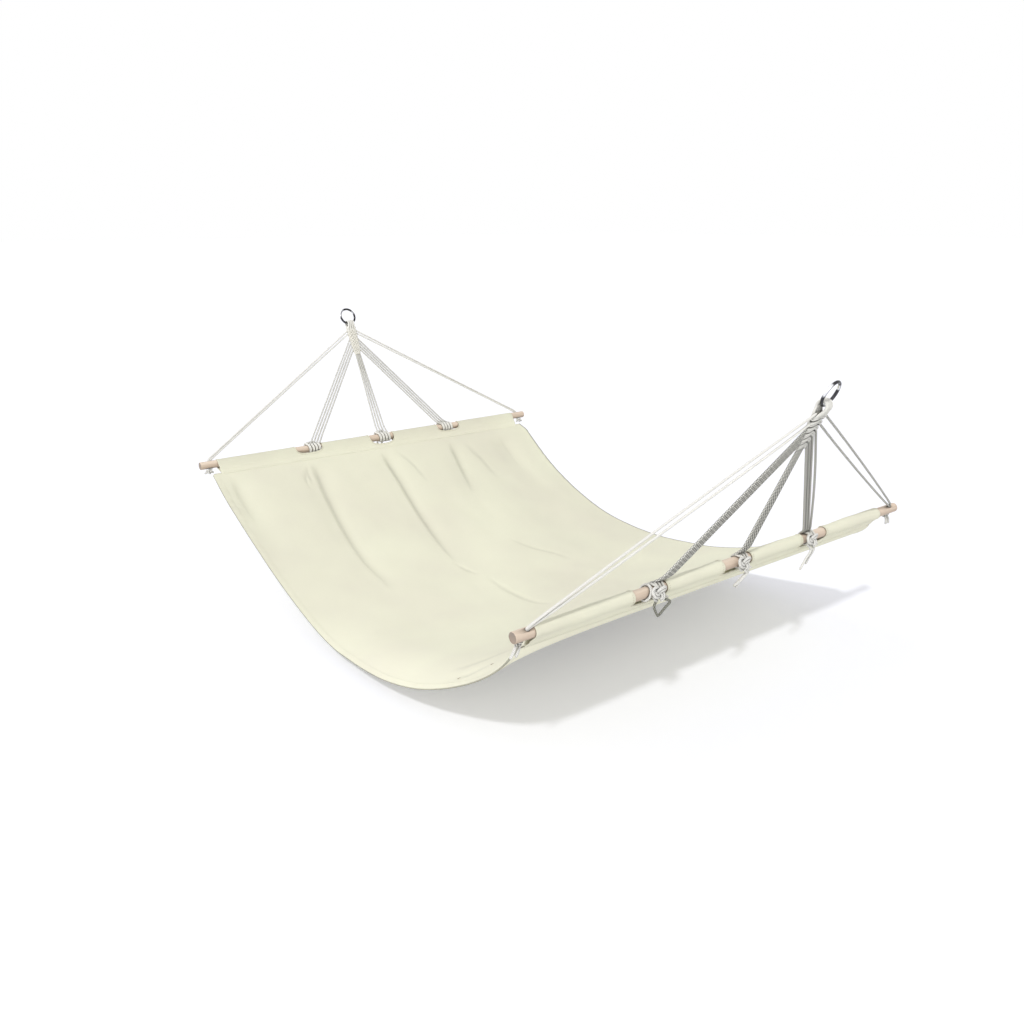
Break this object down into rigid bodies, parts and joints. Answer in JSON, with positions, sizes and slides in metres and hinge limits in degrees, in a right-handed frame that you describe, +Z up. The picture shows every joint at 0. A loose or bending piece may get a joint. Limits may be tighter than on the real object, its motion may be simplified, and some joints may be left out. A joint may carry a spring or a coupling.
{
  "type": "spreader bar hammock",
  "caption": "Canvas hammock bed hung between two wooden spreader bars by cord fans that gather into plaited clews on steel rings.",
  "frame": {"origin": "where the left ring bears on its hook: the inside of the ring's wire at its top", "axes": "+X from the left ring to the right ring, -Y the front edge of the bed, +Z up"},
  "size_m": [2.1501, 1.4, 0.8264],
  "materials": {
    "canvas": "matt natural cotton canvas",
    "cord": "matt off-white braided cotton cord",
    "wood": "smooth light hardwood, matt varnish",
    "ring": "polished chromed steel"
  },
  "bodies": {
    "rings": {"left_ring": "ring", "right_ring": "ring"},
    "left_end": {"left_spreader_bar": "wood", "left_sleeve": "canvas", "left_clew": "cord", "left_end_cord_front_1": "cord", "left_end_cord_front_2": "cord", "left_end_cord_back_1": "cord", "left_end_cord_back_2": "cord", "left_cord_front_1": "cord", "left_cord_front_2": "cord", "left_cord_front_3": "cord", "left_cord_front_4": "cord", "left_cord_middle_1": "cord", "left_cord_middle_2": "cord", "left_cord_middle_3": "cord", "left_cord_middle_4": "cord", "left_cord_back_1": "cord", "left_cord_back_2": "cord", "left_cord_back_3": "cord", "left_cord_back_4": "cord", "left_winding_front": "cord", "left_winding_middle": "cord", "left_winding_back": "cord", "left_knot_front": "cord", "left_knot_middle": "cord", "left_knot_back": "cord", "left_stopper_knot_front": "cord", "left_stopper_knot_back": "cord", "canvas_bed": "canvas"},
    "right_end": {"right_spreader_bar": "wood", "right_sleeve": "canvas", "right_clew": "cord", "right_end_cord_front_1": "cord", "right_end_cord_front_2": "cord", "right_end_cord_back_1": "cord", "right_end_cord_back_2": "cord", "right_cord_front_1": "cord", "right_cord_front_2": "cord", "right_cord_front_3": "cord", "right_cord_front_4": "cord", "right_cord_middle_1": "cord", "right_cord_middle_2": "cord", "right_cord_middle_3": "cord", "right_cord_middle_4": "cord", "right_cord_back_1": "cord", "right_cord_back_2": "cord", "right_cord_back_3": "cord", "right_cord_back_4": "cord", "right_winding_front": "cord", "right_winding_middle": "cord", "right_winding_back": "cord", "right_knot_front": "cord", "right_knot_middle": "cord", "right_knot_back": "cord", "right_stopper_knot_front": "cord", "right_stopper_knot_back": "cord"}
  },
  "joints": [
    {"name": "swing", "type": "hinge", "parent": "rings", "child": "left_end", "pos_m": [0.01068, 0, -0.02288], "axis": [1, 0, 0], "range_deg": [-25, 25]},
    {"name": "twist", "type": "hinge", "parent": "left_end", "child": "right_end", "pos_m": [2.12868, 0, -0.02288], "axis": [1, 0, 0], "range_deg": [-10, 10]}
  ]
}
